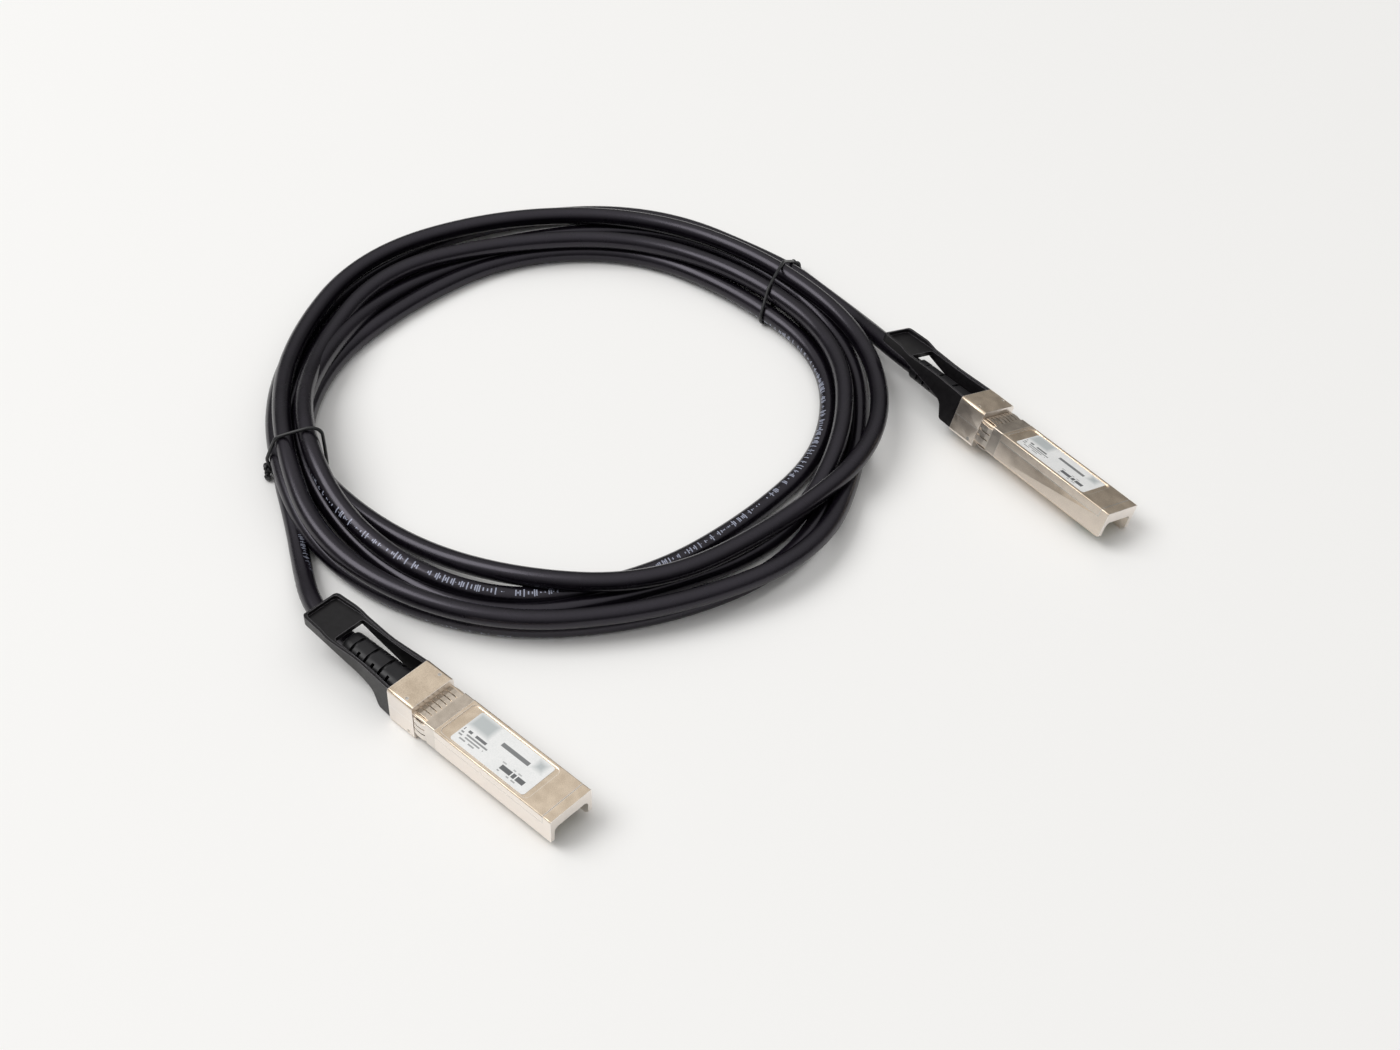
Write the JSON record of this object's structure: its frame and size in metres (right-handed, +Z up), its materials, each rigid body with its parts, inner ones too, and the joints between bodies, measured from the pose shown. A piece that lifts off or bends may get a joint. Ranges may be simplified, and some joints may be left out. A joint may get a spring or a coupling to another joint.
{
  "type": "direct attach copper cable",
  "caption": "Coiled black network cable with a die-cast pluggable plug at each end; each plug has a sprung pull tab that rocks a latch",
  "frame": {"origin": "on the ground, in the middle of the box that holds both plugs", "axes": "+X along end A's plug, from the cable towards the tip; +Y from end A across the coil towards end B; +Z up"},
  "size_m": [0.2328, 0.2069, 0.0164],
  "materials": {
    "nickel_casting": "nickel-plated zinc die casting, satin, fine cast grain",
    "spring_sheet": "thin stamped spring sheet, plated, satin",
    "stamped_steel": "stamped steel, dull plating",
    "circuit_board": "green solder mask over laminate, gold contact pads at the edge",
    "chip_plastic": "black moulded chip package",
    "wire_insulation": "white insulation under a shield tape",
    "ferrule_copper": "copper crimp ferrule, dull",
    "boot_rubber": "black moulded boot, satin",
    "tab_plastic": "black moulded nylon, fine texture",
    "label_film": "white label film with plain grey fields",
    "cable_jacket": "black satin jacket with faint sheen",
    "tie_wire": "plastic-coated twist wire"
  },
  "bodies": {
    "root": {"base_shell_a": "nickel_casting", "base_shell_b": "nickel_casting", "top_cover_a": "nickel_casting", "top_cover_b": "nickel_casting", "emi_collar_a": "spring_sheet", "emi_collar_b": "spring_sheet", "paddle_card_a": "circuit_board", "paddle_card_b": "circuit_board", "memory_chip_a": "chip_plastic", "memory_chip_b": "chip_plastic", "twinax_pairs_a": "wire_insulation", "twinax_pairs_b": "wire_insulation", "crimp_ferrule_a": "ferrule_copper", "crimp_ferrule_b": "ferrule_copper", "strain_relief_a": "boot_rubber", "strain_relief_b": "boot_rubber", "latch_pin_a": "stamped_steel", "latch_pin_b": "stamped_steel", "latch_spring_a": "spring_sheet", "latch_spring_b": "spring_sheet", "label_a": "label_film", "label_b": "label_film", "cover_pins_a": "stamped_steel", "cover_pins_b": "stamped_steel", "cable_tail_a": "cable_jacket", "cable_coil": "cable_jacket", "cable_tail_b": "cable_jacket", "coil_tie_left": "tie_wire", "coil_tie_right": "tie_wire"},
    "tab_a": {"pull_tab_a": "tab_plastic", "tab_slider_a": "stamped_steel"},
    "latch_a": {"latch_lever_a": "stamped_steel"},
    "tab_b": {"pull_tab_b": "tab_plastic", "tab_slider_b": "stamped_steel"},
    "latch_b": {"latch_lever_b": "stamped_steel"}
  },
  "joints": [
    {"name": "tab_a_slide", "type": "slide", "parent": "root", "child": "tab_a", "axis": [-1, 0, 0], "range_m": [0, 0.0025], "stiffness_N_per_m": 900, "springref_m": -0.001},
    {"name": "latch_a_rock", "type": "hinge", "parent": "root", "child": "latch_a", "pos_m": [-0.0232, -0.0924, 0.0015], "axis": [0, -1, 0], "range_deg": [0, 11], "deforming": ["latch_spring_a"]},
    {"name": "tab_b_slide", "type": "slide", "parent": "root", "child": "tab_b", "axis": [-0.9905, 0.1339, 0.0297], "range_m": [0, 0.0025], "stiffness_N_per_m": 900, "springref_m": -0.001},
    {"name": "latch_b_rock", "type": "hinge", "parent": "root", "child": "latch_b", "pos_m": [0.01376, 0.08557, 0.0035], "axis": [-0.1185, -0.9442, 0.3072], "range_deg": [0, 11], "deforming": ["latch_spring_b"]}
  ],
  "couplings": [
    {"joint": "latch_a_rock", "follows": "tab_a_slide", "rad_per_m": 76.79},
    {"joint": "latch_b_rock", "follows": "tab_b_slide", "rad_per_m": 76.79}
  ]
}
